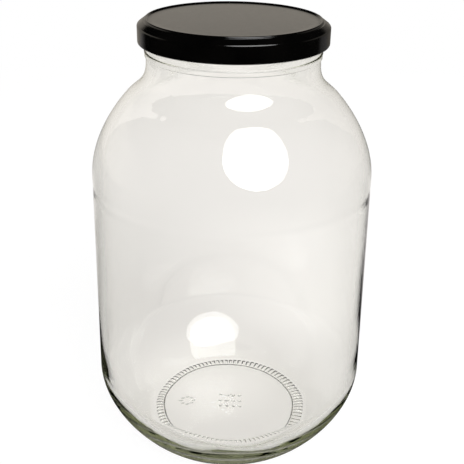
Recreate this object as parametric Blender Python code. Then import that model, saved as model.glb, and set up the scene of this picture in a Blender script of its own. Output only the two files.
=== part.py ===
"""A preserving jar: a glass body and a twist-off cap with its sealing ring.

Metres, +Z up. The jar stands on Z = 0 and every round shape turns about the Z axis.
Three pieces come apart on a bench: glass_jar, sealing_ring and cap_shell.
"""

import math

import bmesh
import bpy

# Fineness of the turned shapes
turn_steps = 48
weld_distance = 0.000001
smooth_angle = math.radians(35)

# Glass body, from the table upwards
foot_radius = 0.0533
foot_width = 0.0090
push_up_height = 0.0040
push_up_step = 0.0010
push_up_width = 0.0016
body_radius = 0.0819
body_taper = 0.0023
heel_height = 0.0447
body_side_height = 0.1261
shoulder_rise = 0.0457
neck_fillet_rise = 0.0184
finish_height = 0.0200

# Glass thickness
floor_thickness = 0.0065
body_wall = 0.0048
neck_wall = 0.0041

# Inside bottom: how far the floor reaches before the glass sweeps up to the wall
floor_radius = 0.0500

# Curves of the glass outline, as shares of the heights and widths that they span
heel_foot_pull_share = 0.175
heel_side_pull_share = 0.456
floor_pull_share = 0.32
inner_side_pull_share = 0.41
shoulder_pull_share = 0.48
shoulder_turn_pull_share = 0.155
neck_turn_pull_share = 0.34
neck_pull_share = 0.63
turn_radius_share = 0.356
shoulder_slope = math.radians(43.4)

# Ring where the shoulder of the mould met its body
ring_drop = 0.0048
ring_width = 0.0040
ring_depth = 0.0004

# Neck finish: bead, sealing rim and thread segments
neck_radius = 0.0473
bead_lift = 0.0043
bead_width = 0.0028
bead_flank = 0.0004
bead_height = 0.0006
thread_count = 6
thread_height = 0.0018
thread_width = 0.0024
thread_flank = 0.0006
thread_fall = 0.0018
thread_span = math.radians(38)
thread_steps = 6
thread_root_share = 0.15
thread_lead_share = 0.15
thread_end_share = 0.25

# Cap, pressed from tinplate
tin_thickness = 0.0003
skirt_height = 0.0103
crest_rise = 0.0025
crest_inset = 0.0021
crest_width = 0.0028
crest_corner = 0.0030
crest_slope = math.radians(50)
crest_foot_width = 0.0006
crest_foot_pull_share = 0.75
panel_drop = 0.0007
panel_step_width = 0.0008
shoulder_corner = 0.0014
curl_radius = 0.0010
curl_turn = math.radians(235)
curl_steps = 5
corner_steps = 3

# Lugs pressed inwards from the curl, one for each thread segment
lug_span = math.radians(12)
lug_thickness = 0.0015
lug_tip_share = 0.6
lug_steps = 2

# Sealing ring in the groove under the crest
seal_thickness = 0.0020
seal_width = 0.0025
seal_inset = 0.0013
seal_corner = 0.0008

# Clearances
seat_gap = 0.0003
curl_clearance = 0.0004
lug_clearance = 0.0007

# Steps along each curve
heel_steps = 6
shoulder_steps = 6
neck_steps = 5
inner_heel_steps = 5
dome_steps = 4
lip_steps = 4

# Heights that follow
shoulder_z = heel_height + body_side_height
turn_z = shoulder_z + shoulder_rise
neck_z = turn_z + neck_fillet_rise
rim_z = neck_z + finish_height
floor_edge_z = push_up_step + floor_thickness
seal_z = rim_z + seat_gap
crest_z = seal_z + seal_thickness + seat_gap + tin_thickness
cap_shoulder_z = crest_z - crest_rise
skirt_z = cap_shoulder_z - skirt_height
curl_z = skirt_z + curl_radius
lug_top_z = curl_z + lug_thickness / 2

# Radii that follow
shoulder_radius = body_radius - body_taper
turn_radius = neck_radius + turn_radius_share * (shoulder_radius - neck_radius)
bore_radius = neck_radius - neck_wall
thread_radius = neck_radius + thread_height
cap_radius = thread_radius + curl_clearance + 2 * curl_radius
curl_centre_radius = cap_radius - curl_radius
crest_radius = neck_radius - crest_inset
seal_radius = neck_radius - seal_inset
dome_radius = foot_radius - foot_width - push_up_width

# Pitch of the threads and lugs round the neck
pitch = math.tau / thread_count

glass_colour = (0.90, 0.93, 0.89, 1.0)
enamel_colour = (0.012, 0.012, 0.012, 1.0)
compound_colour = (0.62, 0.60, 0.55, 1.0)


def clear_scene():
    for item in list(bpy.data.objects):
        bpy.data.objects.remove(item, do_unlink=True)


def curve(start, start_pull, end_pull, end, steps):
    """Points of a cubic curve from start to end, each a (radius, height) pair."""
    points = []
    for step in range(steps + 1):
        t = step / steps
        shares = ((1 - t) ** 3, 3 * t * (1 - t) ** 2, 3 * t * t * (1 - t), t**3)
        corners = (start, start_pull, end_pull, end)
        radius = sum(share * corner[0] for share, corner in zip(shares, corners))
        height = sum(share * corner[1] for share, corner in zip(shares, corners))
        points.append((radius, height))
    return points


def arc(centre, radius, first, last, steps):
    """Points of an arc in the profile's plane, from angle first to angle last."""
    points = []
    for step in range(steps + 1):
        angle = first + (last - first) * step / steps
        across = centre[0] + radius * math.cos(angle)
        points.append((across, centre[1] + radius * math.sin(angle)))
    return points


def left_normals(points):
    """Unit normals on the left of a polyline's direction of travel."""
    normals = []
    for index in range(len(points)):
        before = points[max(index - 1, 0)]
        after = points[min(index + 1, len(points) - 1)]
        along = (after[0] - before[0], after[1] - before[1])
        length = math.hypot(*along)
        normals.append((-along[1] / length, along[0] / length))
    return normals


def offset(points, distances):
    """The polyline moved to its left, by its own distance at each point."""
    moved = []
    for point, normal, distance in zip(points, left_normals(points), distances):
        moved.append((point[0] + normal[0] * distance, point[1] + normal[1] * distance))
    return moved


def finish_object(name, mesh, colour, roughness, metallic, transmission):
    """Close the mesh into an object with its own material."""
    bmesh.ops.recalc_face_normals(mesh, faces=mesh.faces)
    data = bpy.data.meshes.new(name)
    mesh.to_mesh(data)
    mesh.free()
    data.shade_smooth()
    data.set_sharp_from_angle(angle=smooth_angle)
    material = bpy.data.materials.new(name)
    material.use_nodes = True
    shader = material.node_tree.nodes["Principled BSDF"]
    shader.inputs["Base Color"].default_value = colour
    shader.inputs["Roughness"].default_value = roughness
    shader.inputs["Metallic"].default_value = metallic
    shader.inputs["Transmission Weight"].default_value = transmission
    data.materials.append(material)
    item = bpy.data.objects.new(name, data)
    bpy.context.collection.objects.link(item)
    return item


def turned(profile, is_ring):
    """Turn a profile about Z. A ring's profile closes on itself, others end on the axis."""
    mesh = bmesh.new()
    verts = [mesh.verts.new((radius, 0, height)) for radius, height in profile]
    pairs = list(zip(verts, verts[1:]))
    if is_ring:
        pairs.append((verts[-1], verts[0]))
    edges = [mesh.edges.new(pair) for pair in pairs]
    bmesh.ops.spin(
        mesh,
        geom=verts + edges,
        cent=(0, 0, 0),
        axis=(0, 0, 1),
        angle=math.tau,
        steps=turn_steps,
        use_merge=True,
    )
    bmesh.ops.remove_doubles(mesh, verts=mesh.verts, dist=weld_distance)
    return mesh


def add_swept_bar(mesh, stations):
    """Skin a closed bar through its stations, each a list of (radius, angle, height) corners."""
    loops = []
    for station in stations:
        loop = []
        for radius, angle, height in station:
            place = (radius * math.cos(angle), radius * math.sin(angle), height)
            loop.append(mesh.verts.new(place))
        loops.append(loop)
    count = len(loops[0])
    for near, far in zip(loops, loops[1:]):
        for index in range(count):
            after = (index + 1) % count
            mesh.faces.new((near[index], near[after], far[after], far[index]))
    mesh.faces.new(loops[0])
    mesh.faces.new(loops[-1])


def union(target, added):
    """Fuse the added bars into the target. The bars themselves stay out of sight."""
    join = target.modifiers.new(added.name, "BOOLEAN")
    join.operation = "UNION"
    join.solver = "EXACT"
    join.object = added
    added.hide_render = True
    added.display_type = "WIRE"


def mould_ring(side_bottom, side_top):
    """A shallow groove round the body, just below the shoulder."""
    middle_z = side_top[1] - ring_drop
    lower_z = middle_z - ring_width / 2
    upper_z = middle_z + ring_width / 2
    slope = (side_top[0] - side_bottom[0]) / (side_top[1] - side_bottom[1])
    points = []
    for height, depth in ((lower_z, 0), (middle_z, ring_depth), (upper_z, 0)):
        radius = side_bottom[0] + slope * (height - side_bottom[1])
        points.append((radius - depth, height))
    return points


def outer_side():
    """The glass outline from the top of the heel to the foot of the neck, in two lists."""
    side_bottom = (body_radius, heel_height)
    side_top = (shoulder_radius, shoulder_z)
    turn = (turn_radius, turn_z)
    neck_foot = (neck_radius, neck_z)
    inwards = -math.sin(shoulder_slope)
    upwards = math.cos(shoulder_slope)
    below = shoulder_turn_pull_share * shoulder_rise
    above = neck_turn_pull_share * neck_fillet_rise
    shoulder = curve(
        side_top,
        (shoulder_radius, shoulder_z + shoulder_pull_share * shoulder_rise),
        (turn_radius - inwards * below, turn_z - upwards * below),
        turn,
        shoulder_steps,
    )
    neck = curve(
        turn,
        (turn_radius + inwards * above, turn_z + upwards * above),
        (neck_radius, neck_z - neck_pull_share * neck_fillet_rise),
        neck_foot,
        neck_steps,
    )
    return [side_bottom] + mould_ring(side_bottom, side_top), shoulder + neck[1:]


def outer_heel():
    """The outside of the heel, from the foot ring up to the body wall."""
    foot_pull = heel_foot_pull_share * (body_radius - foot_radius)
    side_pull = heel_side_pull_share * heel_height
    return curve(
        (foot_radius, 0),
        (foot_radius + foot_pull, 0),
        (body_radius, heel_height - side_pull),
        (body_radius, heel_height),
        heel_steps,
    )


def inner_heel():
    """The inside of the heel, from the body wall down to the floor."""
    wall_radius = body_radius - body_wall
    width = wall_radius - floor_radius
    height = heel_height - floor_edge_z
    return curve(
        (wall_radius, heel_height),
        (wall_radius, heel_height - inner_side_pull_share * height),
        (floor_radius + floor_pull_share * width, floor_edge_z),
        (floor_radius, floor_edge_z),
        inner_heel_steps,
    )


def dome(lift):
    """The base's gentle dome from the axis outwards, falling with the radius squared."""
    points = []
    for step in range(dome_steps + 1):
        share = step / dome_steps
        fall = (push_up_height - push_up_step) * share**2
        points.append((dome_radius * share, push_up_height - fall + lift))
    return points


def base_under():
    """The underside: a low dome and a small step inside a flat foot ring."""
    edge = foot_radius - foot_width
    middle = (edge + dome_radius) / 2
    step = curve(
        (dome_radius, push_up_step), (middle, push_up_step), (middle, 0), (edge, 0), 3
    )
    return dome(0) + step[1:]


def bead():
    """The low flat bead under the cap, as four points."""
    low = neck_z + bead_lift - bead_width / 2
    high = neck_z + bead_lift + bead_width / 2
    crest = neck_radius + bead_height
    flat = [(crest, low + bead_flank), (crest, high - bead_flank)]
    return [(neck_radius, low)] + flat + [(neck_radius, high)]


def inner_side(shoulder_points):
    """The inside of the shoulder, from the mouth's bore down to the wall's top."""
    walls = []
    for _, height in shoulder_points:
        share = max(height - turn_z, 0) / neck_fillet_rise
        walls.append(body_wall + (neck_wall - body_wall) * share)
    moved = offset(shoulder_points, walls)
    return moved[::-1]


def glass_jar():
    heel = outer_heel()
    side, shoulder = outer_side()
    lip_centre = (neck_radius - neck_wall / 2, rim_z - neck_wall / 2)
    lip = arc(lip_centre, neck_wall / 2, 0, math.pi, lip_steps)
    outside = base_under() + heel + side[1:] + shoulder + bead()
    floor = dome(floor_thickness)
    inside = inner_side(shoulder) + inner_heel() + floor[::-1]
    mesh = turned(outside + lip + inside, False)
    jar = finish_object("glass_jar", mesh, glass_colour, 0.02, 0.0, 1.0)
    union(jar, thread_segments())
    return jar


def thread_underside(angle, middle):
    """Height of a thread's underside, which falls clockwise so that the cap is drawn down."""
    locked_edge = middle - lug_span / 2
    return lug_top_z + seat_gap + thread_fall * (angle - locked_edge) / thread_span


def thread_segments():
    """Sloped bars round the neck, with gaps between them where the lugs go in."""
    mesh = bmesh.new()
    root = neck_radius - thread_root_share * neck_wall
    for index in range(thread_count):
        middle = pitch * (index + 0.5)
        stations = []
        for step in range(thread_steps + 1):
            share = step / thread_steps
            angle = middle + thread_span * (share - 0.5)
            lead = min(share, 1 - share) / thread_lead_share
            crest = neck_radius + thread_height * max(thread_end_share, min(1, lead))
            low = thread_underside(angle, middle)
            high = low + thread_width
            stations.append(
                [
                    (root, angle, low),
                    (crest, angle, low + thread_flank),
                    (crest, angle, high - thread_flank),
                    (root, angle, high),
                ]
            )
        add_swept_bar(mesh, stations)
    return finish_object("thread_bars", mesh, glass_colour, 0.02, 0.0, 1.0)


def sheet_profile(middle_line):
    """A closed profile of tinplate round its middle line, which starts on the axis."""
    half = tin_thickness / 2
    halves = [half] * len(middle_line)
    backs = [-half] * len(middle_line)
    upper = offset(middle_line, halves)
    lower = offset(middle_line, backs)
    upper[0] = (0, middle_line[0][1] + half)
    lower[0] = (0, middle_line[0][1] - half)
    return upper + lower[::-1]


def cap_middle_line():
    """The middle of the tinplate from the panel's centre, over the crest, down to the curl."""
    half = tin_thickness / 2
    panel = crest_z - panel_drop - half
    crest_top = crest_z - half
    crest_inner = crest_radius - crest_width
    corner = crest_corner - half
    crest_arc = arc(
        (crest_radius, crest_z - crest_corner),
        corner,
        math.pi / 2,
        math.pi / 2 - crest_slope,
        corner_steps,
    )
    shoulder_arc = arc(
        (cap_radius - shoulder_corner, cap_shoulder_z - shoulder_corner),
        shoulder_corner - half,
        math.pi / 2,
        0,
        corner_steps,
    )
    curl = arc(
        (curl_centre_radius, curl_z), curl_radius - half, 0, -curl_turn, curl_steps
    )
    side_radius, side_z = crest_arc[-1]
    shelf = cap_shoulder_z - half
    drop = side_z - shelf
    bend = side_radius + drop / math.tan(crest_slope)
    pull = crest_foot_pull_share
    crest_foot = curve(
        (side_radius, side_z),
        (side_radius + pull * (bend - side_radius), side_z - pull * drop),
        (bend, shelf),
        (bend + crest_foot_width, shelf),
        corner_steps,
    )
    return (
        [(0, panel), (crest_inner - panel_step_width, panel), (crest_inner, crest_top)]
        + crest_arc
        + crest_foot[1:]
        + shoulder_arc
        + curl
    )


def cap_lugs():
    """Inward lugs on the curl, each in the middle of a gap between two threads."""
    mesh = bmesh.new()
    tip = neck_radius + lug_clearance
    half = lug_thickness / 2
    tip_half = half * lug_tip_share
    for index in range(thread_count):
        stations = []
        for step in range(lug_steps + 1):
            angle = pitch * index + lug_span * (step / lug_steps - 0.5)
            stations.append(
                [
                    (tip, angle, curl_z - tip_half),
                    (curl_centre_radius, angle, curl_z - half),
                    (curl_centre_radius, angle, curl_z + half),
                    (tip, angle, curl_z + tip_half),
                ]
            )
        add_swept_bar(mesh, stations)
    return finish_object("lug_bars", mesh, enamel_colour, 0.35, 0.0, 0.0)


def cap_shell():
    mesh = turned(sheet_profile(cap_middle_line()), False)
    shell = finish_object("cap_shell", mesh, enamel_colour, 0.35, 0.0, 0.0)
    union(shell, cap_lugs())
    return shell


def sealing_ring():
    inner = seal_radius - seal_width
    top = seal_z + seal_thickness
    profile = [
        (inner, seal_z + seal_corner),
        (inner + seal_corner, seal_z),
        (seal_radius - seal_corner, seal_z),
        (seal_radius, seal_z + seal_corner),
        (seal_radius, top - seal_corner),
        (seal_radius - seal_corner, top),
        (inner + seal_corner, top),
        (inner, top - seal_corner),
    ]
    mesh = turned(profile, True)
    return finish_object("sealing_ring", mesh, compound_colour, 0.55, 0.0, 0.0)


def cap_axis(pieces):
    """An empty on the jar's axis at the rim, which lifts and turns the cap's pieces."""
    axis = bpy.data.objects.new("cap_axis", None)
    axis.location = (0, 0, rim_z)
    bpy.context.collection.objects.link(axis)
    bpy.context.view_layer.update()
    for piece in pieces:
        piece.parent = axis
        piece.matrix_parent_inverse = axis.matrix_world.inverted()
    return axis


def main():
    clear_scene()
    glass_jar()
    cap_axis([cap_shell(), sealing_ring()])


main()
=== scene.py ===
# %% [markdown]
# # A preserving jar in clear glass
#
# The jar has three pieces: a thick glass body, a pressed tinplate cap and the ring of sealing
# compound inside the cap. All three are round, so each could be made with a Spin or a Screw.
# Here each one is worked out as a grid of points with numpy instead, because the real pieces
# aren't perfectly round: the glass has sloped threads, a ribbed foot and walls that vary, and
# the cap has lugs pressed in at six places. On a grid, each of these is one more term in a sum.

# %% Load the fixed frame
import math

import bpy
import numpy as np
from mathutils import Matrix, Vector


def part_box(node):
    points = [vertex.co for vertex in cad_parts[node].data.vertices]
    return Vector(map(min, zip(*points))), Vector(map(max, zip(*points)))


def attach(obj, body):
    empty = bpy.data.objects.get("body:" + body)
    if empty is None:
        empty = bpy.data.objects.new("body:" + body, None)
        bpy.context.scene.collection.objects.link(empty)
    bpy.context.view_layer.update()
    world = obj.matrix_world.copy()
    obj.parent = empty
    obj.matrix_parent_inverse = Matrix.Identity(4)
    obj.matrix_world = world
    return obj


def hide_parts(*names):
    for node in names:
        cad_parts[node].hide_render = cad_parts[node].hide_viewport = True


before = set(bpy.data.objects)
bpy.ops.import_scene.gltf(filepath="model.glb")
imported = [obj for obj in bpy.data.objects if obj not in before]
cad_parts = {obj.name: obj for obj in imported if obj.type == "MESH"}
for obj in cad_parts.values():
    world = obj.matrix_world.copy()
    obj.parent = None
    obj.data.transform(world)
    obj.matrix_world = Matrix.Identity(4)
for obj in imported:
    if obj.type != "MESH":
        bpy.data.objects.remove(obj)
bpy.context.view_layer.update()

mm = 0.001
jar_low, jar_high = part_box("glass_jar")
cap_low, cap_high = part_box("cap_shell")
seal_low, seal_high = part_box("sealing_ring")
print("jar", [round(side / mm, 1) for side in jar_high - jar_low], "mm")
print("cap", [round(side / mm, 1) for side in cap_high - cap_low], "mm")

# %% [markdown]
# ## The camera
#
# The camera stood close, a little above the cap and looking down, so the jar narrows towards
# its foot. A long lens would show less of that. The place and the tilt below were found by
# fitting the cap's ellipses and the body's outline, with the cap taken as 103 mm across.

# %% Camera
camera_distance = 429.2 * mm
camera_height = 341.6 * mm
camera_pitch = math.radians(26.13)
camera_roll = math.radians(0.85)
camera_pan = math.radians(0.08)
sensor_width = 36.0
focal_pixels = 797.4
picture_pixels = 464

camera_data = bpy.data.cameras.new("camera")
camera_data.sensor_width = sensor_width
camera_data.lens = focal_pixels / picture_pixels * sensor_width
camera = bpy.data.objects.new("camera", camera_data)
camera_turn = (
    Matrix.Rotation(-camera_pan, 4, "Z")
    @ Matrix.Rotation(math.pi / 2 - camera_pitch, 4, "X")
    @ Matrix.Rotation(camera_roll, 4, "Z")
)
camera.matrix_world = Matrix.Translation((0, -camera_distance, camera_height)) @ camera_turn
bpy.context.scene.collection.objects.link(camera)
bpy.context.scene.camera = camera
print("lens", round(camera_data.lens, 1), "mm")

# %% [markdown]
# ## From numbers to a mesh
#
# Every piece is a grid: rows run along the profile and columns run round the axis. The first
# and last rows may be a single point on the axis. The faces come from the grid's own numbering,
# so no loop over vertices is needed. A grid can be given as several blocks of rows, and a block
# may have twice as many columns as its neighbour: fine ribs then don't make all the rest heavy.

# %% Grid to mesh
def round_angles(columns):
    """The angles of the columns: the whole turn shared out evenly."""
    return np.arange(columns) / columns * math.tau


def strip(first, second):
    """Faces between two rows: quads, or three triangles for each pair of finer columns."""
    if len(first) == len(second):
        faces = [first, np.roll(first, -1), np.roll(second, -1), second]
        return [np.stack(faces, axis=-1)]
    if len(second) == 2 * len(first):
        even, odd, after = second[::2], second[1::2], np.roll(second[::2], -1)
        follow = np.roll(first, -1)
        fans = [(first, odd, even), (first, follow, odd), (follow, after, odd)]
    else:
        even, odd, after = first[::2], first[1::2], np.roll(first[::2], -1)
        follow = np.roll(second, -1)
        fans = [(even, odd, second), (odd, follow, second), (odd, after, follow)]
    return [np.stack(fan, axis=-1) for fan in fans]


def turned_mesh(name, blocks, start_pole=None, end_pole=None, closed=False):
    """Skin blocks of rows round the Z axis.

    A block is a pair of arrays, radius and height. Its point in row i and column j is at
    (radius[i, j] cos a, radius[i, j] sin a, height[i, j]), with a the angle of column j. A pole
    is the height of a single point on the axis that closes that end. A closed grid joins its
    last row to its first.
    """
    points, rows, total = [], [], 0
    for radius, height in blocks:
        a = round_angles(radius.shape[1])
        grid = np.stack([radius * np.cos(a), radius * np.sin(a), height], axis=-1)
        points.append(grid.reshape(-1, 3))
        rows.extend(np.arange(total, total + radius.size).reshape(radius.shape))
        total += radius.size
    faces = [face for pair in zip(rows[:-1], rows[1:]) for face in strip(*pair)]
    if closed:
        faces += strip(rows[-1], rows[0])
    for pole, row, flip in ((start_pole, rows[0], False), (end_pole, rows[-1], True)):
        if pole is not None:
            points.append(np.array([[0.0, 0.0, pole]]))
            follow = np.roll(row, -1)
            edge = (row, follow) if flip else (follow, row)
            faces.append(np.stack([np.full(len(row), total), *edge], axis=-1))
            total += 1
    sizes = np.concatenate([np.full(len(face), face.shape[1]) for face in faces])
    loops = np.concatenate([face.ravel() for face in faces])
    mesh = bpy.data.meshes.new(name)
    mesh.vertices.add(total)
    mesh.vertices.foreach_set("co", np.vstack(points).astype(np.float32).ravel())
    mesh.loops.add(len(loops))
    mesh.loops.foreach_set("vertex_index", loops.astype(np.int32))
    mesh.polygons.add(len(sizes))
    starts = np.concatenate([[0], np.cumsum(sizes)[:-1]])
    mesh.polygons.foreach_set("loop_start", starts.astype(np.int32))
    mesh.polygons.foreach_set("use_smooth", np.ones(len(sizes), bool))
    mesh.update(calc_edges=True)
    mesh.validate()
    item = bpy.data.objects.new(name, mesh)
    bpy.context.scene.collection.objects.link(item)
    print(name, total, "points", int((sizes - 2).sum()), "triangles")
    return item


# %% [markdown]
# A profile is a run of (radius, height) points. Such a run could be drawn by hand as a curve
# object, but then its sizes would have no names. Here it is put together from lines, arcs and
# cubic curves between named sizes, so it follows when a size changes.

# %% Curves for the profiles
def cubic(start, start_pull, end_pull, end, count):
    """Points on a cubic curve: four corners weighted by (1-t)^3, 3t(1-t)^2, 3t^2(1-t), t^3."""
    t = np.linspace(0, 1, count)[:, None]
    weights = np.hstack([(1 - t) ** 3, 3 * t * (1 - t) ** 2, 3 * t**2 * (1 - t), t**3])
    return weights @ np.array([start, start_pull, end_pull, end])


def arc(centre, radius, first, last, count):
    """Points on an arc: the centre plus radius times (cos a, sin a), a from first to last."""
    a = np.linspace(first, last, count)[:, None]
    return np.array(centre) + radius * np.hstack([np.cos(a), np.sin(a)])


def line(start, end, count):
    """Evenly spaced points from start to end."""
    return np.linspace(start, end, count)


def chain(*parts):
    """Join runs of points, leaving out the first point of each run after the first."""
    return np.vstack([parts[0]] + [part[1:] for part in parts[1:]])


def across(points):
    """Unit vectors across a run of points: its direction at each, turned left by 90 degrees."""
    along = np.gradient(points, axis=0)
    along /= np.linalg.norm(along, axis=1)[:, None]
    return np.stack([-along[:, 1], along[:, 0]], axis=1)


def round_rows(profile, columns):
    """The profile's radii and heights, repeated in every column."""
    return (np.repeat(profile[:, part : part + 1], columns, axis=1) for part in (0, 1))


# %% Steps and bumps
def smooth_step(low, high, value):
    """0 below low, 1 above high, and 3x^2 - 2x^3 between them."""
    x = np.clip((value - low) / (high - low), 0, 1)
    return x * x * (3 - 2 * x)


def hump(value, centre, half_width):
    """A smooth bump: the square of cos over the half width on either side of the centre."""
    x = np.clip(np.abs(value - centre) / half_width, 0, 1)
    return np.cos(x * math.pi / 2) ** 2


print("a smooth step at its quarters", smooth_step(0, 1, np.linspace(0, 1, 5)).round(3))

# %% [markdown]
# ## The glass body
#
# A jar this size is blown in a mould, so its outside is smooth and its inside isn't: the glass
# runs thick in the heel and varies a little all over. Its silhouette is the mould's: a rounded
# heel, an almost straight side, the faint ring where two parts of the mould met, a domed
# shoulder and the neck. It could be one curve with a Screw modifier. A profile of named sizes
# was chosen, because the inside is then the same outline moved in by the wall's thickness.

# %% Glass sizes
body_radius = jar_high.x
body_taper = 2.3 * mm
heel_height = 44.7 * mm
side_height = 126.1 * mm
shoulder_rise = 45.7 * mm
fillet_rise = 18.4 * mm
rim_z = jar_high.z
neck_radius = 47.3 * mm
neck_wall = 4.1 * mm
turn_radius_share = 0.356
turn_slope = math.radians(43.4)
bead_above_neck = 4.5 * mm

shoulder_z = heel_height + side_height
shoulder_radius = body_radius - body_taper
turn_z = shoulder_z + shoulder_rise
turn_radius = neck_radius + turn_radius_share * (shoulder_radius - neck_radius)
neck_z = turn_z + fillet_rise
bead_z = neck_z + bead_above_neck
print("shoulder at", round(shoulder_z / mm, 1), "neck at", round(neck_z / mm, 1), "mm")

# %% Base sizes
foot_radius = 53.3 * mm
foot_width = 9.0 * mm
push_up_height = 4.0 * mm
push_up_step = 1.0 * mm
push_up_width = 1.6 * mm
floor_thickness = 6.5 * mm
floor_radius = 50.0 * mm

foot_inner = foot_radius - foot_width
base_edge = foot_inner - push_up_width
floor_z = push_up_height + floor_thickness
print("foot", round(2 * foot_radius / mm, 1), "mm across, floor at", round(floor_z / mm, 1), "mm")

# %% [markdown]
# Each cubic curve leaves its ends in the direction of its neighbour, so that the glass has no
# crease. How far it holds that direction is a share of the height or width it covers. The rows
# are closer together at the ring below the shoulder and at the bead, where the shape is fine.

# %% Glass outline
heel_foot_share, heel_side_share = 0.175, 0.456
shoulder_side_share, shoulder_turn_share = 0.48, 0.155
fillet_turn_share, fillet_neck_share = 0.34, 0.63
ring_rows_reach = 9.0 * mm
bead_rows_reach = 1.9 * mm


def glass_outside():
    """The outside from the push-up's edge to the rim's outer corner, as (radius, height)."""
    middle = (foot_inner + base_edge) / 2
    inwards, upwards = -math.sin(turn_slope), math.cos(turn_slope)
    below, above = shoulder_turn_share * shoulder_rise, fillet_turn_share * fillet_rise
    turn_point = (turn_radius, turn_z)
    ring_start = (
        shoulder_radius + body_taper * ring_rows_reach / side_height,
        shoulder_z - ring_rows_reach,
    )
    bead_low, bead_high = bead_z - bead_rows_reach, bead_z + bead_rows_reach
    step_up = cubic(
        (base_edge, push_up_step), (middle, push_up_step), (middle, 0), (foot_inner, 0), count=9
    )
    heel = cubic(
        (foot_radius, 0),
        (foot_radius + heel_foot_share * (body_radius - foot_radius), 0),
        (body_radius, heel_height - heel_side_share * heel_height),
        (body_radius, heel_height),
        count=30,
    )
    shoulder = cubic(
        (shoulder_radius, shoulder_z),
        (shoulder_radius, shoulder_z + shoulder_side_share * shoulder_rise),
        (turn_radius - inwards * below, turn_z - upwards * below),
        turn_point,
        count=24,
    )
    fillet = cubic(
        turn_point,
        (turn_radius + inwards * above, turn_z + upwards * above),
        (neck_radius, neck_z - fillet_neck_share * fillet_rise),
        (neck_radius, neck_z),
        count=16,
    )
    return chain(
        step_up,
        line((foot_inner, 0), (foot_radius, 0), count=19),
        heel,
        line((body_radius, heel_height), ring_start, count=11),
        line(ring_start, (shoulder_radius, shoulder_z), count=18),
        shoulder,
        fillet,
        line((neck_radius, neck_z), (neck_radius, bead_low), count=6),
        line((neck_radius, bead_low), (neck_radius, bead_high), count=25),
        line((neck_radius, bead_high), (neck_radius, rim_z - neck_wall / 2), count=24),
    )


outside = glass_outside()
print("the outside has", len(outside), "points")

# %% [markdown]
# The wall's thickness sets how far the light bends in the shoulder and the neck, so it changes
# with the height: thinnest at the shoulder's foot, thickest at the bead. The inside could be a
# second curve drawn by eye. Moved across from the outside, it keeps that thickness in view.

# %% Inside of the glass
# Pairs of a height and the wall's thickness there, in mm.
wall_knots = ((60, 4.4), (180, 4.0), (200, 4.0), (235, 5.2), (242, 5.2), (250, 4.1))
inner_heel_share, inner_floor_share = 0.41, 0.32
height_tolerance = 0.001 * mm


def wall_thickness(height):
    """The wall at a height: a smooth step from each knot's height and wall to the next one's."""
    knots = np.array(wall_knots) * mm
    wall = np.full_like(height, knots[0, 1])
    for (low, first), (high, last) in zip(knots[:-1], knots[1:]):
        wall += (last - first) * smooth_step(low, high, height)
    return wall


def glass_inside():
    """The inside from the top of the neck down to the floor's flat.

    It is every second point of the outside, moved across by the wall, down to the top of the
    heel, and then a cubic curve to the floor.
    """
    on_wall = outside[:, 1] > heel_height - height_tolerance
    upper = outside[on_wall][::2]
    moved = upper + across(upper) * wall_thickness(upper[:, 1])[:, None]
    moved = moved[::-1]
    wall_radius = moved[-1, 0]
    floor_edge = push_up_step + floor_thickness
    heel = cubic(
        (wall_radius, heel_height),
        (wall_radius, heel_height - inner_heel_share * (heel_height - floor_edge)),
        (floor_radius + inner_floor_share * (wall_radius - floor_radius), floor_edge),
        (floor_radius, floor_edge),
        count=20,
    )
    return chain(moved, heel)


inside = glass_inside()
lip_centre = (neck_radius - neck_wall / 2, rim_z - neck_wall / 2)
lip = arc(lip_centre, neck_wall / 2, 0, math.pi, count=13)
print("the inside has", len(inside), "points and the rim", len(lip))

# %% [markdown]
# Round the neck the outline isn't a plain turned one: six sloped thread segments stand out of
# it, a sixth of a turn apart, and the cap's lugs run under them. They could be separate bars,
# but then the glass would be cut by an inner wall wherever a bar meets the neck, and it would
# show. So they are bumps in the radius of the same grid, as are the bead and the mould seams.

# %% Threads
thread_count = 6
thread_height = 1.8 * mm
thread_half_width = 1.5 * mm
thread_span = math.radians(38)
thread_fall = 1.8 * mm
thread_gap = 0.3 * mm
thread_end_share = 0.72
thread_flat_share = 0.35
lug_half_span = math.radians(6)
lug_thickness = 1.5 * mm
curl_radius = 1.0 * mm

thread_pitch = math.tau / thread_count
lug_top = cap_low.z + curl_radius + lug_thickness / 2


def thread_bump(height, angles):
    """Thread height times a smooth ridge across the thread, faded out at both of its ends.

    The ridge's middle falls clockwise along the segment, as the thread's underside does.
    """
    from_middle = (angles % thread_pitch) - thread_pitch / 2
    underside = lug_top + thread_gap + thread_fall * (from_middle + lug_half_span) / thread_span
    middle = underside + thread_half_width
    half_span = thread_span / 2
    fade = 1 - smooth_step(thread_end_share, 1.0, np.abs(from_middle) / half_span)
    from_ridge = np.abs(height - middle) / thread_half_width
    return thread_height * (1 - smooth_step(thread_flat_share, 1.0, from_ridge)) * fade


print(thread_count, "threads over lugs that reach up to", round(lug_top / mm, 1), "mm")

# %% Bead and mould seams
bead_height = 0.6 * mm
bead_half_width = 1.4 * mm
bead_edge = 0.4 * mm
ridge_height = 0.3 * mm
ridge_half_width = 0.4 * mm
ridge_above_bead = 1.3 * mm
seam_height = 0.12 * mm
seam_angle = math.radians(52)
seam_half_width = math.radians(1.3)
seam_start = (6 * mm, 16 * mm)


def bead_bump(height):
    """The bead: full height inside its two edges, each a smooth step, plus a fine ridge on top."""
    outwards = np.abs(height - bead_z) - bead_half_width
    bump = bead_height * (1 - smooth_step(-bead_edge / 2, bead_edge / 2, outwards))
    return bump + ridge_height * hump(height, bead_z + ridge_above_bead, ridge_half_width)


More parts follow.
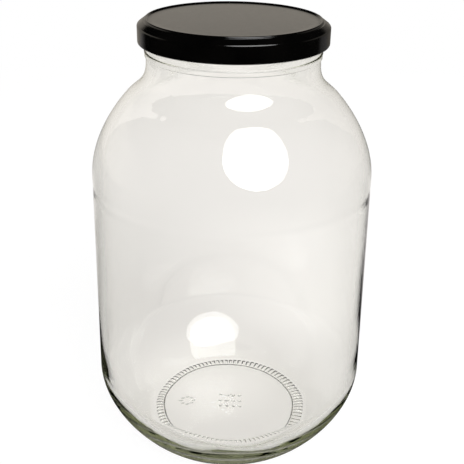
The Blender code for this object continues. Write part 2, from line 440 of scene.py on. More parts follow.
def seam_bump(height, angles):
    """Two fine upright humps half a turn apart, faded in low on the heel and out at the neck."""
    from_seam = (angles - seam_angle + math.pi / 2) % math.pi - math.pi / 2
    fade = smooth_step(*seam_start, height) * (1 - smooth_step(neck_z, bead_z, height))
    return seam_height * hump(from_seam, 0, seam_half_width) * fade


print("the bead's middle is", round(bead_z / mm, 1), "mm high")

# %% [markdown]
# The foot has a ring of short ribs, so that the hot jar doesn't stick to the belt and doesn't
# slip on a shelf. Inside it, where a maker would mould its marks, this jar has plain dots. Ribs
# and dots could be an image used as displacement. As terms in the height they stay sharp.

# %% Ribs of the foot
rib_count = 96
rib_length = 5.8 * mm
rib_length_change = 1.2 * mm
rib_depth = 0.8 * mm
rib_fade = 1.2 * mm
rib_side_shares = (0.25, 0.75)
foot_fade = (0.2 * mm, 0.8 * mm)


def rib_lift(radius, height, angles):
    """How far the valleys between the ribs are lifted off the table.

    It is the depth times a steepened cosine round the foot, faded out at both ends of a rib. A
    rib's length changes with the cosine of the angle: the ring is a little wider on one side.
    """
    valley = smooth_step(*rib_side_shares, 0.5 - 0.5 * np.cos(angles * rib_count))
    near = smooth_step(foot_inner, foot_inner + rib_fade, radius)
    rib_end = foot_inner + rib_length + rib_length_change * np.cos(angles)
    far = 1 - smooth_step(rib_end - rib_fade, rib_end, radius)
    on_foot = 1 - smooth_step(*foot_fade, height)
    return rib_depth * valley * near * far * on_foot


print(rib_count, "ribs,", round(math.tau * foot_radius / rib_count / mm, 1), "mm apart")

# %% Dots of the base
dot_height = 0.5 * mm
dot_radius = 1.1 * mm
dot_flat_share = 0.4
dot_ring_count = 8
dot_ring_radius = 4.2 * mm
dot_ring_centre = (-28.0 * mm, 0.0)
dot_row_count = 4
dot_row_ends = (-5.5 * mm, 7.5 * mm)
dot_row_gap = 6 * mm


def dot_places():
    """Centres of the plain dots: a small ring on one side and three short rows in the middle."""
    turns = round_angles(dot_ring_count)
    ring = np.stack([np.cos(turns), np.sin(turns)], axis=1) * dot_ring_radius + dot_ring_centre
    x = line(*dot_row_ends, dot_row_count)
    rows = [np.stack([x, np.full_like(x, y)], axis=1) for y in (-dot_row_gap, 0, dot_row_gap)]
    return np.vstack([ring] + rows)


def dot_drop(x, y):
    """How far the dots stand down out of the base: a smooth bump round each centre."""
    drop = np.zeros_like(x)
    for centre in dot_places():
        from_centre = np.hypot(x - centre[0], y - centre[1]) / dot_radius
        drop = np.maximum(drop, dot_height * (1 - smooth_step(dot_flat_share, 1.0, from_centre)))
    return drop


print(len(dot_places()), "dots")

# %% [markdown]
# The inside of the wall was shaped by air alone, so it waves gently. The waves are a sum of a
# few sines with random phases. Their numbers round the jar are whole, so they meet themselves.
# A noise texture as displacement would do as well, but a sum of sines has no seam to close.

# %% Waves of the inner wall
broad_waves = dict(strength=0.18 * mm, fewest=1, most=5, count=5, shortest=60 * mm)
finer_waves = dict(strength=0.07 * mm, fewest=4, most=11, count=6, shortest=25 * mm)
heel_waves = dict(strength=0.03 * mm, fewest=3, most=14, count=6, shortest=12 * mm)
length_spread = 3
above_floor = (8 * mm, 13 * mm)
above_heel = (30 * mm, 50 * mm)
calm_heights = (110 * mm, 150 * mm)
calm_share = 0.75
draws = np.random.default_rng(11)


def waves(height, angles, strength, fewest, most, count, shortest):
    """A sum of sines of the angle and the height, with whole numbers of waves round the jar."""
    total = np.zeros(np.broadcast(height, angles).shape)
    for _ in range(count):
        around = draws.integers(fewest, most + 1)
        length = shortest * (1 + length_spread * draws.random())
        phase = draws.random() * math.tau
        total = total + np.sin(around * angles + height / length * math.tau + phase)
    return strength * total / math.sqrt(count)


def inner_block(profile, columns):
    """Rows of the inside, moved along their normals by the waves of the wall.

    The waves fade out at the floor and at the neck, and are weaker in the jar's upper part.
    """
    angles = round_angles(columns)
    _, height = round_rows(profile, columns)
    wave = waves(height, angles, **broad_waves)
    wave = wave + waves(height, angles, **finer_waves)
    in_heel = smooth_step(*above_floor, height) * (1 - smooth_step(*above_heel, height))
    wave = wave + waves(height, angles, **heel_waves) * in_heel
    room = smooth_step(*above_floor, height)
    room = room * (1 - calm_share * smooth_step(*calm_heights, height))
    room = room * (1 - smooth_step(turn_z, neck_z, height))
    moved = profile[:, None] - (wave * room)[..., None] * across(profile)[:, None]
    return moved[..., 0], moved[..., 1]


print("broad waves up to", round((1 + length_spread) * broad_waves["shortest"] / mm), "mm long")

# %% [markdown]
# Now the whole jar is one closed surface: up the outside, over the rim, down the inside and
# across the floor. A boolean cut could hollow a solid instead, but it would leave a ragged
# mesh. The foot with its ribs and dots has twice as many columns as the rest.

# %% Assemble the glass
coarse_columns = 240
fine_columns = 480
fine_heel_rows = 6
ring_below_shoulder = 4.8 * mm
ring_depth = 0.10 * mm
ring_half_width = 4.0 * mm
side_start = 1 * mm
neck_margin = 1 * mm
dots_within = 36 * mm
# Radii in mm from the middle out: the first, the last and how many rows.
base_row_spans = ((0.6, 3.5, 4), (4, 33, 40), (35, 42, 5))
floor_inner = 1 * mm
floor_row_count = 12

ring_z = shoulder_z - ring_below_shoulder


def dome(radius):
    """The base's gentle dome: its top, less a fall that grows with the radius squared."""
    share = np.minimum(radius / base_edge, 1)
    return push_up_height - (push_up_height - push_up_step) * share**2


def outer_block(profile, columns):
    """Rows of the outside, with the ring, bead, threads and seams as terms in the radius."""
    angles = round_angles(columns)
    radius, height = round_rows(profile, columns)
    on_side = height > side_start
    on_neck = height > neck_z - neck_margin
    radius = radius - on_side * ring_depth * hump(height, ring_z, ring_half_width)
    radius = radius + on_neck * bead_bump(height)
    radius = radius + on_neck * thread_bump(height, angles)
    radius = radius + on_side * seam_bump(height, angles)
    height = height + rib_lift(radius, height, angles)
    x, y = radius * np.cos(angles), radius * np.sin(angles)
    return radius, height - (radius < dots_within) * dot_drop(x, y)


base_radii = np.concatenate([np.linspace(*span) for span in base_row_spans]) * mm
base = np.stack([base_radii, dome(base_radii)], axis=1)
floor_radii = np.linspace(floor_radius, floor_inner, floor_row_count)
floor = np.stack([floor_radii, dome(floor_radii) + floor_thickness], axis=1)
foot_row = int(np.argmin(np.hypot(outside[:, 0] - foot_radius, outside[:, 1])))
split = foot_row + fine_heel_rows
fine_profile = np.vstack([base, outside[:split]])
coarse_profile = chain(outside[split:], lip)
inner_profile = chain(inside, floor)[1:]
glass_blocks = [
    outer_block(fine_profile, fine_columns),
    outer_block(coarse_profile, coarse_columns),
    inner_block(inner_profile, coarse_columns),
]
jar_glass = turned_mesh("jar_glass", glass_blocks, push_up_height, floor_z)

# %% [markdown]
# ## The cap
#
# The cap is one disc of tinplate 0.3 mm thick, pressed and then enamelled. From the middle: a
# flat panel, the step up to a narrow round crest, the crest's steep outer side that runs out on
# a small flat shelf, the sloped shoulder, the skirt, and the edge rolled in and up so that it
# isn't sharp. At six places the roll is pressed flat towards the neck, and those are the lugs.
# A Solidify modifier on a thin profile could give the tin its thickness. Here the profile is
# moved across both ways, because the lugs then stay a term in the radius and the height.

# %% Cap sizes
tin = 0.3 * mm
cap_radius = cap_high.x
cap_top = cap_high.z
panel_drop = 0.85 * mm
panel_step = 1.2 * mm
crest_inset = 0.55 * mm
crest_width = 0.2 * mm
crest_corner = 0.7 * mm
crest_slope = math.radians(78)
crest_drop = 1.1 * mm
crest_foot = 0.5 * mm
crest_pull_share = 0.75
shoulder_slope = math.radians(36)
shoulder_bend = 0.3 * mm
shoulder_corner = 1.2 * mm
curl_turn = math.radians(235)
panel_inner = 1 * mm

crest_radius = neck_radius - crest_inset
curl_centre = (cap_radius - curl_radius, cap_low.z + curl_radius)
print("cap", round(2 * cap_radius / mm, 1), "mm across, crest", round(2 * crest_radius / mm, 1))

# %% Cap profile
def crest_lines():
    """From the panel to the shelf: a smooth step, an arc over the crest, and a cubic curve."""
    panel_z, shelf_z = cap_top - panel_drop - tin / 2, cap_top - crest_drop - tin / 2
    share = line(0, 1, count=9)
    rise = smooth_step(0, 1, share) * panel_drop
    step_start = crest_radius - crest_width - panel_step
    step = np.stack([step_start + share * panel_step, panel_z + rise], axis=1)
    over = math.pi / 2 - crest_slope
    crest_centre = (crest_radius, cap_top - crest_corner)
    crest = arc(crest_centre, crest_corner - tin / 2, math.pi / 2, over, count=16)
    side = crest[-1]
    foot = np.array((side[0] + (side[1] - shelf_z) / math.tan(crest_slope), shelf_z))
    pull = side + crest_pull_share * (foot - side)
    return chain(
        line((panel_inner, panel_z), step[0], count=12),
        step,
        line(step[-1], crest[0], count=6),
        crest,
        cubic(side, pull, foot, foot + (crest_foot, 0), count=14),
    )


def shoulder_lines(shelf):
    """From the shelf to the curl's end: a bend, the slope, an arc, the skirt and the curl."""
    corner = shoulder_corner - tin / 2
    leaving = math.pi / 2 - shoulder_slope
    fall = np.array((math.cos(shoulder_slope), -math.sin(shoulder_slope)))
    arc_radius = cap_radius - shoulder_corner
    run = arc_radius + corner * math.cos(leaving) - shelf[0] - shoulder_bend
    arc_z = shelf[1] - run * math.tan(shoulder_slope) - corner * math.sin(leaving)
    bend = shelf + (shoulder_bend, 0)
    slope = cubic(shelf, bend, bend, bend + fall * shoulder_bend, count=6)
    shoulder = arc((arc_radius, arc_z), corner, leaving, 0, count=9)
    curl = arc(curl_centre, curl_radius - tin / 2, 0, -curl_turn, count=22)
    return chain(
        slope,
        line(slope[-1], shoulder[0], count=4),
        shoulder,
        line(shoulder[-1], curl[0], count=8),
        curl,
    )


crest_line = crest_lines()
middle_line = chain(crest_line, shoulder_lines(crest_line[-1]))
upper = middle_line + across(middle_line) * tin / 2
lower = middle_line - across(middle_line) * tin / 2
cap_profile = np.vstack([lower, upper[::-1]])
print("the tin's middle has", len(middle_line), "points")

# %% Lugs and cap
lug_reach = 1.5 * mm
lug_squash = 0.4
lug_fade = math.radians(2.0)
lug_rise_share = 1.5
cap_columns = 256

radius, height = round_rows(cap_profile, cap_columns)
from_lug = np.abs((round_angles(cap_columns) + thread_pitch / 2) % thread_pitch - thread_pitch / 2)
lug_window = 1 - smooth_step(lug_half_span - lug_fade / 2, lug_half_span + lug_fade / 2, from_lug)
inner_side = smooth_step(0, curl_radius, curl_centre[0] - radius)
inner_side = inner_side * (height < curl_centre[1] + lug_rise_share * curl_radius)
radius = radius - lug_reach * inner_side * lug_window
height = height - (height - curl_centre[1]) * lug_squash * inner_side * lug_window
cap = turned_mesh("cap_enamelled", [(radius, height)], lower[0, 1], upper[0, 1])

# %% [markdown]
# ## The sealing ring
#
# The compound is poured into the cap as a liquid while the cap spins, then baked. It settles
# into a smooth ring with a slightly uneven edge, and the glass rim has pressed a shallow mark
# along it. The rim touches it along a narrow line only, so the mark is narrow too. A Torus
# could be squashed to the ring's size. A rounded box as the section sits flatter in the cap.

# %% Sealing ring section
seal_width = 2.5 * mm
seal_gap = 0.1 * mm
seal_corner = 0.8 * mm

seal_inner, seal_outer = seal_high.x - seal_width, seal_high.x
seal_top = cap_top - panel_drop - tin - seal_gap


def seal_profile():
    """A closed ring section: a box with rounded corners, its underside first, then the top."""
    low, high = seal_low.z, seal_top
    left, right = seal_inner + seal_corner, seal_outer - seal_corner
    bottom, top = low + seal_corner, high - seal_corner
    quarter = math.pi / 2
    corners = [
        line((left, low), (right, low), count=14),
        arc((right, bottom), seal_corner, -quarter, 0, count=6),
        line((seal_outer, bottom), (seal_outer, top), count=4),
        arc((right, top), seal_corner, 0, quarter, count=6),
        line((right, high), (left, high), count=8),
        arc((left, top), seal_corner, quarter, 2 * quarter, count=6),
        line((seal_inner, top), (seal_inner, bottom), count=4),
        arc((left, bottom), seal_corner, 2 * quarter, 3 * quarter, count=6)[:-1],
    ]
    return chain(*corners)


print("seal", round((seal_top - seal_low.z) / mm, 2), "mm thick")

# %% Sealing ring
rim_mark_depth = 0.18 * mm
rim_mark_half_width = 0.7 * mm
edge_wander = 0.12 * mm
edge_fade = 0.9 * mm
# The uneven edge's waves: each one's share, its number round the ring and its phase.
edge_waves = ((1.0, 5, 0.7), (0.6, 11, 2.1))
seal_columns = 192

seal_angles = round_angles(seal_columns)
radius, height = round_rows(seal_profile(), seal_columns)
wander = sum(share * np.sin(count * seal_angles + phase) for share, count, phase in edge_waves)
inner_edge = smooth_step(seal_inner + edge_fade, seal_inner, radius)
under = height < (seal_low.z + seal_top) / 2
radius = radius + inner_edge * edge_wander * (1 + wander) / 2
height = height + under * rim_mark_depth * hump(radius, lip_centre[0], rim_mark_half_width)
seal = turned_mesh("seal_compound", [(radius, height)], closed=True)

# %% [markdown]
# ## Materials
#
# Effects that more than one material uses are node groups, and a group only gives out a number
# or a normal. The shader itself, and anything that depends on the view, stays in the material.
# Nodes could be placed and joined one by one. With a few helpers, a tree reads like a sum.

# %% Helpers for nodes
def add_node(tree, kind, **settings):
    """A new node, with each setting put on its property or, failing that, on its input."""
    node = tree.nodes.new(kind)
    for name, value in settings.items():
        if hasattr(node, name):
            setattr(node, name, value)
        else:
            node.inputs[name.replace("_", " ")].default_value = value
    return node


def feed(tree, socket, value):
    """Link a socket to another node's output, or give it a plain value."""
    if isinstance(value, bpy.types.NodeSocket):
        tree.links.new(value, socket)
    else:
        socket.default_value = value


def new_material(name):
    """A material with its plain shader, and the tree that both are in."""
    material = bpy.data.materials.new(name)
    material.use_nodes = True
    return material, material.node_tree, material.node_tree.nodes["Principled BSDF"]


def place_of(tree, kind="Object"):
    """The place that is shaded: the coordinates themselves and their X, Y and Z."""
    coordinates = add_node(tree, "ShaderNodeTexCoord").outputs[kind]
    parts = add_node(tree, "ShaderNodeSeparateXYZ")
    feed(tree, parts.inputs["Vector"], coordinates)
    return coordinates, *(parts.outputs[axis] for axis in "XYZ")


def ramp(tree, value, low, high, first, last):
    """A number that eases from first to last while the value goes from low to high."""
    node = add_node(tree, "ShaderNodeMapRange", interpolation_type="SMOOTHSTEP")
    numbers = {"Value": value, "From Min": low, "From Max": high, "To Min": first, "To Max": last}
    for label, number in numbers.items():
        feed(tree, node.inputs[label], number)
    return node.outputs["Result"]


def pick(tree, switch, off, on):
    """One number where a switch is 0 and another where it is 1."""
    return ramp(tree, switch, 0, 1, off, on)


def work_out(tree, operation, first, second, kind="ShaderNodeMath"):
    """Two numbers, or two places, put together by a Math or a Vector Math node."""
    node = add_node(tree, kind, operation=operation)
    feed(tree, node.inputs[0], first)
    feed(tree, node.inputs[1], second)
    return node.outputs["Value"]


def blend(tree, share, first, last):
    """A colour between two others."""
    node = add_node(tree, "ShaderNodeMix", data_type="RGBA")
    for label, value in {"Factor": share, "A": first, "B": last}.items():
        feed(tree, node.inputs[label], value)
    return node.outputs["Result"]


# %% [markdown]
# Two effects are shared. Grain is a fine noise: its height varies the polish, and its slopes
# bend the normal. Patches are soft-edged blotches of a larger noise, as a mask. Both read the
# object's own coordinates, so they keep to the piece when it moves. An image could hold the
# same, but it would have to be unwrapped and would show its pixels close up.

# %% Groups: grain and patches
def new_group(name, inputs, outputs):
    """An empty shader group with the named number inputs and the named outputs."""
    group = bpy.data.node_groups.new(name, "ShaderNodeTree")
    for label, default in inputs.items():
        socket = group.interface.new_socket(label, in_out="INPUT", socket_type="NodeSocketFloat")
        socket.default_value = default
    for label, kind in outputs.items():
        group.interface.new_socket(label, in_out="OUTPUT", socket_type=kind)
    entry, result = group.nodes.new("NodeGroupInput"), group.nodes.new("NodeGroupOutput")
    return group, entry.outputs, result.inputs


def use_group(tree, group, **values):
    """A group node's outputs in a tree, with its inputs set."""
    node = tree.nodes.new("ShaderNodeGroup")
    node.node_tree = group
    for label, value in values.items():
        node.inputs[label].default_value = value
    return node.outputs


def noise_at(tree, scale, **settings):
    """A noise over the object's own coordinates, at a scale per metre."""
    noise = add_node(tree, "ShaderNodeTexNoise", **settings)
    feed(tree, noise.inputs["Vector"], add_node(tree, "ShaderNodeTexCoord").outputs["Object"])
    feed(tree, noise.inputs["Scale"], scale)
    return noise.outputs["Fac"]


grain, entry, result = new_group(
    "grain",
    {"Scale": 1000.0, "Depth": 0.01 * mm},
    {"Height": "NodeSocketFloat", "Normal": "NodeSocketVector"},
)
grain_height = noise_at(grain, entry["Scale"], Detail=3.0, Roughness=0.6)
bump = add_node(grain, "ShaderNodeBump", Strength=1.0)
feed(grain, bump.inputs["Height"], grain_height)
feed(grain, bump.inputs["Distance"], entry["Depth"])
feed(grain, result["Height"], grain_height)
feed(grain, result["Normal"], bump.outputs["Normal"])

patches, entry, result = new_group(
    "patches", {"Scale": 40.0, "Low": 0.45, "High": 0.7}, {"Mask": "NodeSocketFloat"}
)
patch_noise = noise_at(patches, entry["Scale"], Detail=5.0, Roughness=0.65)
feed(patches, result["Mask"], ramp(patches, patch_noise, entry["Low"], entry["High"], 0.0, 1.0))


def polished(tree, shader, fine, least, most):
    """Roughness between two values by the grain's height, and the grain's normal."""
    polish = add_node(tree, "ShaderNodeMapRange")
    feed(tree, polish.inputs["Value"], fine["Height"])
    feed(tree, polish.inputs["To Min"], least)
    feed(tree, polish.inputs["To Max"], most)
    feed(tree, shader.inputs["Roughness"], polish.outputs["Result"])
    feed(tree, shader.inputs["Normal"], fine["Normal"])


print("groups", [group.name for group in (grain, patches)])

# %% [markdown]
# The glass is clear, with a green-grey tint that only shows where the light passes a long way
# through it, as in the heel. The tint could be a colour on the surface, but that tints thin and
# thick glass alike, so it is an absorbing volume. A very shallow, wide ripple on the surface
# makes what is seen through it wander, as it does through blown glass.

# %% Clear glass
glass_ior = 1.52
glass_white = (1.0, 1.0, 1.0, 1.0)
glass_density = 18.0
glass_tint = (0.572, 0.600, 0.430, 1.0)
glass_ripple = dict(Scale=55.0, Depth=0.02 * mm)

clear_glass, tree, shader = new_material("clear_glass")
shader.inputs["Base Color"].default_value = glass_white
shader.inputs["Roughness"].default_value = 0.0
shader.inputs["IOR"].default_value = glass_ior
shader.inputs["Transmission Weight"].default_value = 1.0
feed(tree, shader.inputs["Normal"], use_group(tree, grain, **glass_ripple)["Normal"])
absorption = add_node(tree, "ShaderNodeVolumeAbsorption", Color=glass_tint, Density=glass_density)
feed(tree, tree.nodes["Material Output"].inputs["Volume"], absorption.outputs["Volume"])
print("glass", glass_ior, "with a tint of density", glass_density)

# %% [markdown]
# The cap's enamel is a black lacquer rolled on the flat sheet before pressing. It is glossy,
# with a fine grain. The flat panel also gets a lighter speckled colour that the pressed parts
# don't get. This is a painted sheen, added to the grey that the panel really mirrors from the
# room. A second material on the panel's faces would give a hard edge. Here one material knows
# the panel by its distance from the axis, and blends over at its edge.

# %% Black enamel
enamel_ior = 1.5
enamel_tones = (0.0004, 0.0004, 0.0004, 1.0), (0.0012, 0.0011, 0.0010, 1.0)
enamel_cloud = dict(Scale=60.0, Low=0.3, High=0.75)
enamel_grain = dict(Scale=1100.0, Depth=0.03 * mm)
enamel_roughness = 0.07, 0.11
# Painted sheen: a lighter, speckled colour on the flat panel only, added to the grey it mirrors.
painted_sheen_tones = (0.020, 0.019, 0.017, 1.0), (0.032, 0.030, 0.027, 1.0)
painted_sheen_patches = dict(Scale=450.0, Low=0.40, High=0.60)
painted_sheen_fade = 2.0 * mm
painted_sheen_end = crest_radius - crest_width - panel_step

black_enamel, tree, shader = new_material("black_enamel")
shader.inputs["IOR"].default_value = enamel_ior
polished(tree, shader, use_group(tree, grain, **enamel_grain), *enamel_roughness)
plain = blend(tree, use_group(tree, patches, **enamel_cloud)["Mask"], *enamel_tones)
painted_sheen_colour = blend(tree, use_group(tree, patches, **painted_sheen_patches)["Mask"], *painted_sheen_tones)
_, x, y, _ = place_of(tree)
flat = add_node(tree, "ShaderNodeCombineXYZ")
feed(tree, flat.inputs["X"], x)
feed(tree, flat.inputs["Y"], y)
from_axis = work_out(tree, "DISTANCE", flat.outputs["Vector"], (0, 0, 0), "ShaderNodeVectorMath")
# The painted sheen fades out at the panel's edge, so the pressed parts keep the plain black.
painted_sheen_mask = ramp(tree, from_axis, painted_sheen_end - painted_sheen_fade, painted_sheen_end, 1.0, 0.0)
feed(tree, shader.inputs["Base Color"], blend(tree, painted_sheen_mask, plain, painted_sheen_colour))
print("speckle up to", round(painted_sheen_end / mm, 1), "mm from the axis")

# %% [markdown]
# The sealing compound is a soft, matt, off-white plastic. It could be one flat colour, but it
# takes up a little of what it has touched, so its tone varies in soft patches.

# %% Sealing compound
compound_ior = 1.46
compound_tones = (0.60, 0.58, 0.52, 1.0), (0.68, 0.66, 0.61, 1.0)
compound_cloud = dict(Scale=110.0, Low=0.3, High=0.7)
compound_grain = dict(Scale=900.0, Depth=0.02 * mm)
compound_roughness = 0.45, 0.6

sealing_compound, tree, shader = new_material("sealing_compound")
shader.inputs["IOR"].default_value = compound_ior
polished(tree, shader, use_group(tree, grain, **compound_grain), *compound_roughness)
compound_tone = blend(tree, use_group(tree, patches, **compound_cloud)["Mask"], *compound_tones)
feed(tree, shader.inputs["Base Color"], compound_tone)
print("compound roughness", compound_roughness)

# %% [markdown]
# ## On the frame
#
# Each piece rides on the body that moves it, takes the place of the plain solid with the same
# job, and gets that solid's material slot. The ring lifts with the cap, and the cap turns on it.

# %% Put the pieces on the frame
jar_glass.data.materials.append(clear_glass)
cap.data.materials.append(black_enamel)
seal.data.materials.append(sealing_compound)
for piece, node, body, slot in (
    (jar_glass, "glass_jar", "jar", "clear_glass"),
    (cap, "cap_shell", "cap", "black_enamel"),
    (seal, "sealing_ring", "seal_carrier", "sealing_compound"),
):
    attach(piece, body)
    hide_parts(node)
    print(piece.name, "rides on", body)

# %% [markdown]
# ## The studio
#
# The jar stands on a white table, and behind and beside it all is white: that is what shows
# through the glass. A real studio has lamps and cards for this. Here the table and the world
# answer each kind of ray in its own way. A ray from the camera sees plain white. A ray through
# the glass sees white with soft shades. A mirrored ray sees a dim room, so that the cap stays
# black. A diffuse ray sees a plain fill light.

# %% Table
table_half_width = 1.6
table_front, table_back = -0.34, 0.87
table_colour = (0.8, 0.8, 0.8, 1.0)

table_mesh = bpy.data.meshes.new("table")
table_corners = [
    (-table_half_width, table_front, 0),
    (table_half_width, table_front, 0),
    (table_half_width, table_back, 0),
    (-table_half_width, table_back, 0),
]
table_mesh.from_pydata(table_corners, [], [(0, 1, 2, 3)])
table = bpy.data.objects.new("table", table_mesh)
bpy.context.scene.collection.objects.link(table)
table_white, tree, shader = new_material("table_white")
tree.nodes.remove(shader)
table_mesh.materials.append(table_white)
rays = add_node(tree, "ShaderNodeLightPath").outputs
place, x, y, z = place_of(tree)
print("table", 2 * table_half_width, "by", round(table_back - table_front, 2), "m")

# %% [markdown]
# Through the glass the table isn't evenly bright: the jar is a little darker on its left than
# on its right, with a brighter spot at its foot. A gradient image could be laid on the table.
# Here its glow has a left and a right shade, each at three depths, and the angle at which the
# camera sees a point chooses between left and right.

# %% The table through the glass
glass_level = 1.005
shade_span = (-0.19, 0.10)
near_depths, far_depths = (0.05, 0.12), (0.24, 0.34)
left_shades, right_shades = (1.00, 0.90, 0.96), (1.00, 1.13, 1.03)
spot_centre = (-0.015, 0.035, 0.0)
spot_radii = (0.015, 0.07)
light_pool_level = 1.18


def shade_by_depth(tree, y, near, middle, far):
    """A shade that eases from near to middle to far with the depth behind the jar's axis."""
    return ramp(tree, y, *far_depths, ramp(tree, y, *near_depths, near, middle), far)


bearing = work_out(tree, "DIVIDE", x, work_out(tree, "ADD", y, camera_distance))
sides = [shade_by_depth(tree, y, *shades) for shades in (left_shades, right_shades)]
shade = ramp(tree, bearing, *shade_span, *sides)
# Painted pool of light: the table's glow is stronger in a spot at the jar's foot.
from_spot = work_out(tree, "DISTANCE", place, spot_centre, "ShaderNodeVectorMath")
spot = ramp(tree, from_spot, *spot_radii, light_pool_level, 1.0)
level = work_out(tree, "MULTIPLY", work_out(tree, "MULTIPLY", shade, glass_level), spot)
print("shades from", min(left_shades), "to", max(right_shades))

# %% [markdown]
# In a mirror the far table is dim on the left, dimmer on the right, and dark far out to either
# side and in front of the jar: the ends of the cap's skirt mirror that part. The edges of the
# glass mirror the table just behind the jar, and would turn too dark, so that part is bright.

# %% The table in mirrors
mirror_left, mirror_right, mirror_dark = 0.36, 0.15, 0.0
mirror_left_span, mirror_right_span = (-1.6, -0.65), (1.5, 2.2)
mirror_blend = 0.10
least_depth = 1 * mm
near_mirror_level = 1.0
near_mirror_span = (0.3, 1.4)
near_mirror_depths = (0.35, 0.5)


def mirror_rays(tree, rays):
    """1 for a ray that was just reflected: the glossy rays' mark less the refracted rays' one."""
    return work_out(tree, "SUBTRACT", rays["Is Glossy Ray"], rays["Is Transmission Ray"])


sideways = work_out(tree, "DIVIDE", x, work_out(tree, "MAXIMUM", y, least_depth))
aside = work_out(tree, "ABSOLUTE", sideways, 0.0)
far_mirror = ramp(tree, sideways, *mirror_left_span, mirror_dark, mirror_left)
far_mirror = ramp(tree, sideways, 0.0, mirror_blend, far_mirror, mirror_right)
far_mirror = ramp(tree, sideways, *mirror_right_span, far_mirror, mirror_dark)
near_mirror = ramp(tree, aside, *near_mirror_span, near_mirror_level, mirror_dark)
mirror = ramp(tree, y, *near_mirror_depths, near_mirror, far_mirror)
mirror = ramp(tree, y, 0.0, mirror_blend, mirror_dark, mirror)
print("mirrors see", mirror_left, "on the left and", mirror_right, "on the right")

# %% [markdown]
# The table both glows and is lit. The lit share is what catches the jar's soft shadow, so it
# differs: mirrored rays see the glow alone, diffuse rays the lit table alone, and rays through
# the glass a mix, with more of the lit table in the front part of a ring round the heel. That
# ring is painted shade: its glow is weaker, so the heel shows a darker contact shadow. Part of
# that darkness is the jar's real shadow on the lit table.

# %% Glow and light of the table
open_level = 1.042
open_share, glow_share, heel_shadow_share = 0.9, 0.75, 0.6
heel_rise_radii, heel_fall_radii = (48 * mm, 56 * mm), (80 * mm, 95 * mm)
heel_front_span = (-45 * mm, -10 * mm)
heel_lean = -0.3
white = (1.0, 1.0, 1.0, 1.0)
white_tint = (1.0, 0.965, 0.948, 1.0)

from_axis = work_out(tree, "DISTANCE", place, (0, 0, 0), "ShaderNodeVectorMath")
# Painted contact shadow: less glow, and so more of the shadowed lit table, in a ring round the
# heel.
heel = ramp(tree, from_axis, *heel_rise_radii, glow_share, heel_shadow_share)
heel = ramp(tree, from_axis, *heel_fall_radii, heel, glow_share)
leaning = work_out(tree, "ADD", work_out(tree, "MULTIPLY", x, heel_lean), y)
share = ramp(tree, leaning, *heel_front_span, heel, glow_share)
share = pick(tree, rays["Is Camera Ray"], share, open_share)
share = pick(tree, mirror_rays(tree, rays), share, 1.0)
share = pick(tree, rays["Is Diffuse Ray"], share, 0.0)
level = pick(tree, rays["Is Camera Ray"], level, open_level)
level = pick(tree, mirror_rays(tree, rays), level, mirror)
lit = add_node(tree, "ShaderNodeBsdfDiffuse", Color=table_colour)
glow = add_node(tree, "ShaderNodeEmission")
mix = add_node(tree, "ShaderNodeMixShader")
feed(tree, glow.inputs["Color"], blend(tree, rays["Is Camera Ray"], white_tint, white))
feed(tree, glow.inputs["Strength"], level)
feed(tree, mix.inputs["Fac"], share)
feed(tree, mix.inputs[1], lit.outputs["BSDF"])
feed(tree, mix.inputs[2], glow.outputs["Emission"])
feed(tree, tree.nodes["Material Output"].inputs["Surface"], mix.outputs["Shader"])
print("table nodes", len(tree.nodes))

# %% [markdown]
# One big round soft light is to the right of the camera and above it. Its mirror image is the
# white patch on the shoulder. A sun or a spot would give a small hard star there instead.

# %% Softbox
light_azimuth = math.radians(24)
light_elevation = math.radians(42)
light_distance = 2.0
light_radius = 0.93
light_radiance = 6.0
light_aim = Vector((0, 0, 0.2))

# A disk's power is its radiance times pi times its area.
light_data = bpy.data.lights.new("softbox", "AREA")
light_data.shape = "DISK"
light_data.size = 2 * light_radius
light_data.energy = light_radiance * math.pi * math.pi * light_radius**2
softbox = bpy.data.objects.new("softbox", light_data)
towards = Vector(
    (
        math.sin(light_azimuth) * math.cos(light_elevation),
        -math.cos(light_azimuth) * math.cos(light_elevation),
        math.sin(light_elevation),
    )
)
facing = towards.to_track_quat("Z", "Y").to_matrix().to_4x4()
softbox.matrix_world = Matrix.Translation(light_aim + towards * light_distance) @ facing
bpy.context.scene.collection.objects.link(softbox)
print("softbox", round(light_data.energy), "W")

# %% [markdown]
# The world goes on where the table ends. Mirrored rays find a low band of warm room light
# behind the jar, which greys the cap's flat panel, and dark everywhere else, so that the crest
# and the skirt stay black. Far behind and below, they find what the table's mirror has. Rays
# through the glass find white, a little dimmer behind the camera.

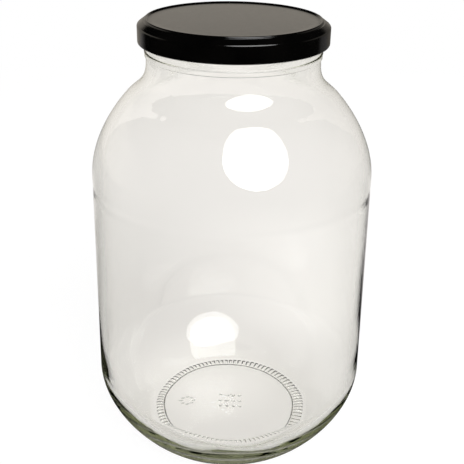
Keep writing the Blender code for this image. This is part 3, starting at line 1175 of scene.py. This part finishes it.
# %% Surroundings
room_colour = (1.0, 0.92, 0.80, 1.0)
room_level = 0.46
band_heights = (0.26, 0.38)
room_depths = (-0.2, 0.25)
room_right_span = (0.10, 0.45)
room_right_level = 0.4
horizon_span = (-0.12, 0.05)
beyond_table = (0.3, 0.5)
front_span = (-0.9, -0.4)
front_level = 0.85
world_shades = (1.03, 1.01)
fill_colour = (1.0, 0.99, 0.97, 1.0)
fill_level = 0.45

world = bpy.data.worlds.new("studio")
world.use_nodes = True
bpy.context.scene.world = world
tree = world.node_tree
tree.nodes.clear()
rays = add_node(tree, "ShaderNodeLightPath").outputs
_, x, y, z = place_of(tree, "Generated")
room = ramp(tree, y, *room_depths, 0.0, ramp(tree, z, *band_heights, room_level, 0.0))
dim = ramp(tree, x, *room_right_span, 1.0, room_right_level)
room = work_out(tree, "MULTIPLY", room, dim)
below = ramp(tree, x, 0.0, mirror_blend, mirror_left, mirror_right)
behind = ramp(tree, z, *horizon_span, below, room)
room = ramp(tree, y, *beyond_table, room, behind)
front = ramp(tree, y, *front_span, front_level, glass_level)
level = work_out(tree, "MULTIPLY", front, ramp(tree, x, *shade_span, *world_shades))
level = pick(tree, mirror_rays(tree, rays), level, room)
level = pick(tree, rays["Is Diffuse Ray"], level, fill_level)
level = pick(tree, rays["Is Camera Ray"], level, 1.0)
tone = blend(tree, mirror_rays(tree, rays), white_tint, room_colour)
tone = blend(tree, rays["Is Diffuse Ray"], tone, fill_colour)
tone = blend(tree, rays["Is Camera Ray"], tone, white)
light = add_node(tree, "ShaderNodeBackground")
feed(tree, light.inputs["Color"], tone)
feed(tree, light.inputs["Strength"], level)
out = add_node(tree, "ShaderNodeOutputWorld")
feed(tree, out.inputs["Surface"], light.outputs["Background"])
print("world nodes", len(tree.nodes))

# %% [markdown]
# A ray through this jar crosses at least four glass surfaces, and many more in the heel and in
# the neck. With the usual 12 bounces those parts turn too dark, so here there are more.

# %% View and bounces
glass_bounces = 24
mirror_bounces = 16

bpy.context.scene.view_settings.view_transform = "Standard"
cycles = bpy.context.scene.cycles
cycles.max_bounces = glass_bounces
cycles.transmission_bounces = glass_bounces
cycles.glossy_bounces = mirror_bounces
print("up to", cycles.max_bounces, "bounces")
